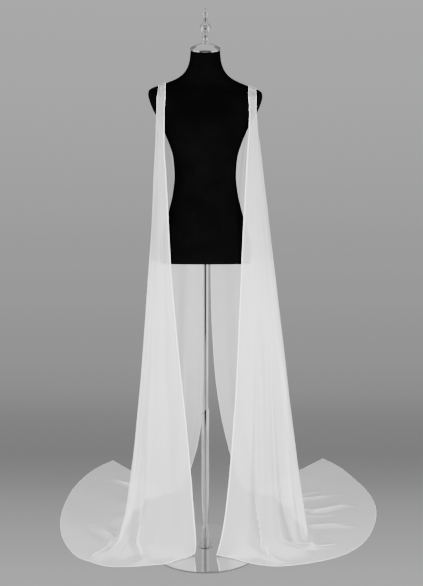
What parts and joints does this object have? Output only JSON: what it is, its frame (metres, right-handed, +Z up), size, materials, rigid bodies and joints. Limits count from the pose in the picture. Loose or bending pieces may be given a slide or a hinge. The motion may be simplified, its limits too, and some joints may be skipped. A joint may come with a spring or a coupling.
{
  "type": "evening stole on dress form",
  "caption": "Sheer evening stole in separate floor-length wings with trains, draped over the shoulders of a limbless dress form on a round-based pole stand.",
  "frame": {"origin": "centre of the base disc's underside, on the pole's axis and on the floor", "axes": "+Z up the pole, -Y the front that the form faces, +X to the right of a viewer in front"},
  "size_m": [1.2833, 1.18, 1.8546],
  "materials": {
    "chiffon": "sheer white chiffon with a soft sheen",
    "form_jersey": "matt black stretch jersey over padding",
    "polished_chrome": "polished chrome plate",
    "base_mirror": "mirror-polished steel"
  },
  "bodies": {
    "root": {"left_front": "chiffon", "left_back": "chiffon", "left_train": "chiffon", "left_shoulder": "chiffon", "right_front": "chiffon", "right_back": "chiffon", "right_train": "chiffon", "right_shoulder": "chiffon", "form_torso": "form_jersey", "neck_cap": "polished_chrome", "finial": "polished_chrome", "pole_upper": "polished_chrome", "pole_lower": "polished_chrome", "pole_screw": "polished_chrome", "base_collar": "polished_chrome", "base_disc": "base_mirror"}
  },
  "joints": []
}
